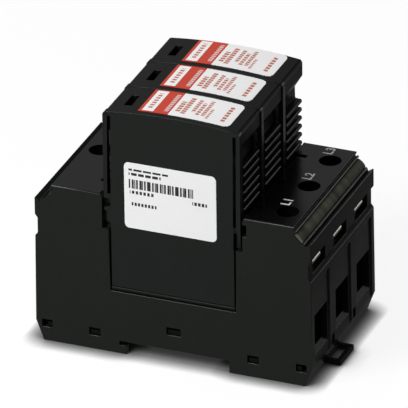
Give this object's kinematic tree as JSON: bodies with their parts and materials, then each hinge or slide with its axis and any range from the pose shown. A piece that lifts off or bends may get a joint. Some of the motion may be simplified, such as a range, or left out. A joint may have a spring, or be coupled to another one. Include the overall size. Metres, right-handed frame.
{
  "type": "din rail surge arrester",
  "caption": "Black rail-mounted surge arrester: a base with stepped shoulders, clamp terminals and a rail latch, holding pull-out plugs with domed, labelled caps and ribbed grips.",
  "frame": {"origin": "middle of the rail seat: the plane of the rail's top face, halfway along the rail direction and on the rail's centre line", "axes": "+X across the rail towards the line terminals and the latch, +Y along the rail, +Z away from the rail towards the plug caps"},
  "size_m": [0.0936, 0.0534, 0.0835],
  "materials": {
    "body_plastic": "satin, fine grain",
    "plug_plastic": "satin, fine grain",
    "floor_plastic": "satin",
    "strip_plastic": "matte, slightly mottled",
    "zinc_steel": "zinc plated",
    "spring_steel": "plain drawn",
    "tinned_copper": "tin plated",
    "oxide_block": "dipped coating",
    "label_paper": "printed film"
  },
  "bodies": {
    "base": {"base_housing": "body_plastic", "base_floor": "floor_plastic", "latch_spring": "spring_steel", "marker_strip": "strip_plastic", "line_contact_1": "tinned_copper", "line_contact_2": "tinned_copper", "line_contact_3": "tinned_copper", "earth_busbar": "tinned_copper"},
    "latch": {"rail_latch": "body_plastic"},
    "plug_1": {"plug_housing_1": "plug_plastic", "plug_floor_1": "floor_plastic", "arrester_1": "oxide_block", "line_blade_1": "tinned_copper", "earth_blade_1": "tinned_copper", "cap_label_1": "label_paper", "side_label": "label_paper"},
    "plug_2": {"plug_housing_2": "plug_plastic", "plug_floor_2": "floor_plastic", "arrester_2": "oxide_block", "line_blade_2": "tinned_copper", "earth_blade_2": "tinned_copper", "cap_label_2": "label_paper"},
    "plug_3": {"plug_housing_3": "plug_plastic", "plug_floor_3": "floor_plastic", "arrester_3": "oxide_block", "line_blade_3": "tinned_copper", "earth_blade_3": "tinned_copper", "cap_label_3": "label_paper"},
    "line_screw_1": {"line_screw_1": "zinc_steel"},
    "line_clamp_1": {"line_clamp_1": "zinc_steel"},
    "line_screw_2": {"line_screw_2": "zinc_steel"},
    "line_clamp_2": {"line_clamp_2": "zinc_steel"},
    "line_screw_3": {"line_screw_3": "zinc_steel"},
    "line_clamp_3": {"line_clamp_3": "zinc_steel"},
    "earth_screw": {"earth_screw": "zinc_steel"},
    "earth_clamp": {"earth_clamp": "zinc_steel"}
  },
  "joints": [
    {"name": "rail_latch_slide", "type": "slide", "parent": "base", "child": "latch", "axis": [1, 0, 0], "range_m": [0, 0.0034], "stiffness_N_per_m": 1500, "springref_m": -0.002, "deforming": ["latch_spring"]},
    {"name": "plug_1_pull", "type": "slide", "parent": "base", "child": "plug_1", "axis": [0, 0, 1], "range_m": [0, 0.055]},
    {"name": "plug_2_pull", "type": "slide", "parent": "base", "child": "plug_2", "axis": [0, 0, 1], "range_m": [0, 0.055]},
    {"name": "plug_3_pull", "type": "slide", "parent": "base", "child": "plug_3", "axis": [0, 0, 1], "range_m": [0, 0.055]},
    {"name": "line_screw_1_turn", "type": "hinge", "parent": "base", "child": "line_screw_1", "pos_m": [0.0342, -0.0178, 0.03], "axis": [0, 0, -1], "range_deg": [0, 4260]},
    {"name": "line_clamp_1_lift", "type": "slide", "parent": "base", "child": "line_clamp_1", "axis": [0, 0, 1], "range_m": [0, 0.0118]},
    {"name": "line_screw_2_turn", "type": "hinge", "parent": "base", "child": "line_screw_2", "pos_m": [0.0342, 0, 0.03], "axis": [0, 0, -1], "range_deg": [0, 4260]},
    {"name": "line_clamp_2_lift", "type": "slide", "parent": "base", "child": "line_clamp_2", "axis": [0, 0, 1], "range_m": [0, 0.0118]},
    {"name": "line_screw_3_turn", "type": "hinge", "parent": "base", "child": "line_screw_3", "pos_m": [0.0342, 0.0178, 0.03], "axis": [0, 0, -1], "range_deg": [0, 4260]},
    {"name": "line_clamp_3_lift", "type": "slide", "parent": "base", "child": "line_clamp_3", "axis": [0, 0, 1], "range_m": [0, 0.0118]},
    {"name": "earth_screw_turn", "type": "hinge", "parent": "base", "child": "earth_screw", "pos_m": [-0.0342, 0, 0.03], "axis": [0, 0, -1], "range_deg": [0, 4260]},
    {"name": "earth_clamp_lift", "type": "slide", "parent": "base", "child": "earth_clamp", "axis": [0, 0, 1], "range_m": [0, 0.0118]}
  ],
  "couplings": [
    {"joint": "line_screw_1_turn", "follows": "line_clamp_1_lift", "rad_per_m": 6283.2},
    {"joint": "line_screw_2_turn", "follows": "line_clamp_2_lift", "rad_per_m": 6283.2},
    {"joint": "line_screw_3_turn", "follows": "line_clamp_3_lift", "rad_per_m": 6283.2},
    {"joint": "earth_screw_turn", "follows": "earth_clamp_lift", "rad_per_m": 6283.2}
  ]
}
